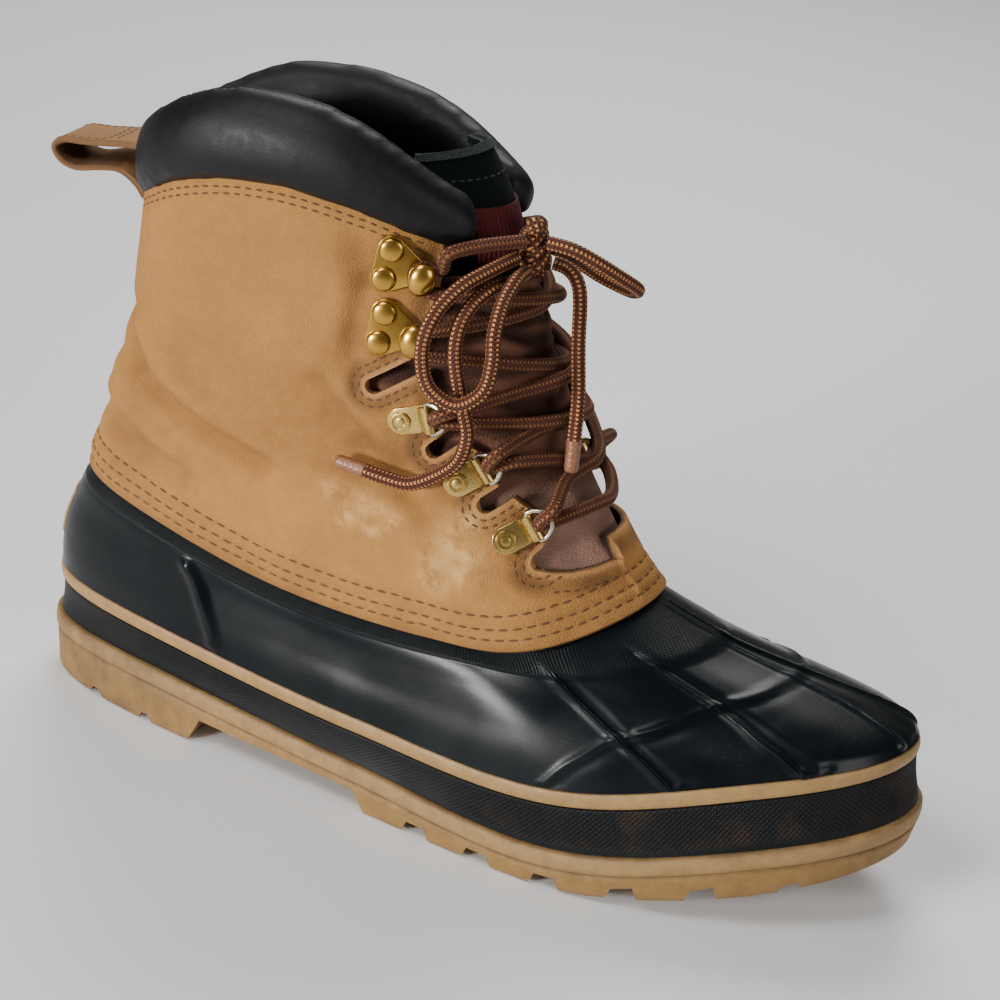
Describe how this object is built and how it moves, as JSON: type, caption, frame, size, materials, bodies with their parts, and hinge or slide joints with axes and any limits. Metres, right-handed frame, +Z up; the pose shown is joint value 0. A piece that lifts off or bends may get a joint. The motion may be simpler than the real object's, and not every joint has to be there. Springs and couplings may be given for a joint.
{
  "type": "duck boot",
  "caption": "Lace-up duck boot for the right foot: moulded rubber shoe on a lugged gum sole, leather shaft, padded collar, gusset tongue, hooks, ring clips and a bow.",
  "frame": {"origin": "centre of the boot's own box, cords left out, at the floor under the sole", "axes": "+X from heel to toe, +Y to the medial side, +Z up from the floor"},
  "size_m": [0.3143, 0.1056, 0.2283],
  "materials": {
    "gum_rubber": "matt gum rubber with a fine moulded skin",
    "black_rubber": "satin moulded rubber, lightly scuffed",
    "stripe_rubber": "matt tan rubber",
    "insole_felt": "felted fabric",
    "nubuck_leather": "matt nubuck",
    "gusset_leather": "soft matt leather",
    "collar_leather": "soft satin leather",
    "loop_leather": "matt strap leather",
    "brass": "polished, slightly worn",
    "lace_cord": "braided cord",
    "aglet_plastic": "translucent tan tip"
  },
  "bodies": {
    "root": {"aglet_lateral": "aglet_plastic", "aglet_medial": "aglet_plastic", "bow_loop_lateral": "lace_cord", "bow_loop_medial": "lace_cord", "clip_lateral_lower": "brass", "clip_lateral_middle": "brass", "clip_lateral_upper": "brass", "clip_medial_lower": "brass", "clip_medial_middle": "brass", "clip_medial_upper": "brass", "foxing_band": "black_rubber", "foxing_stripe": "stripe_rubber", "hook_lateral_lower": "brass", "hook_lateral_upper": "brass", "hook_medial_lower": "brass", "hook_medial_upper": "brass", "insole": "insole_felt", "lace_crossings": "lace_cord", "lace_end_lateral": "lace_cord", "lace_end_medial": "lace_cord", "lace_knot": "lace_cord", "leather_shaft": "nubuck_leather", "outsole": "gum_rubber", "padded_collar": "collar_leather", "pull_loop": "loop_leather", "rubber_shell": "black_rubber", "tongue": "gusset_leather"}
  },
  "joints": []
}
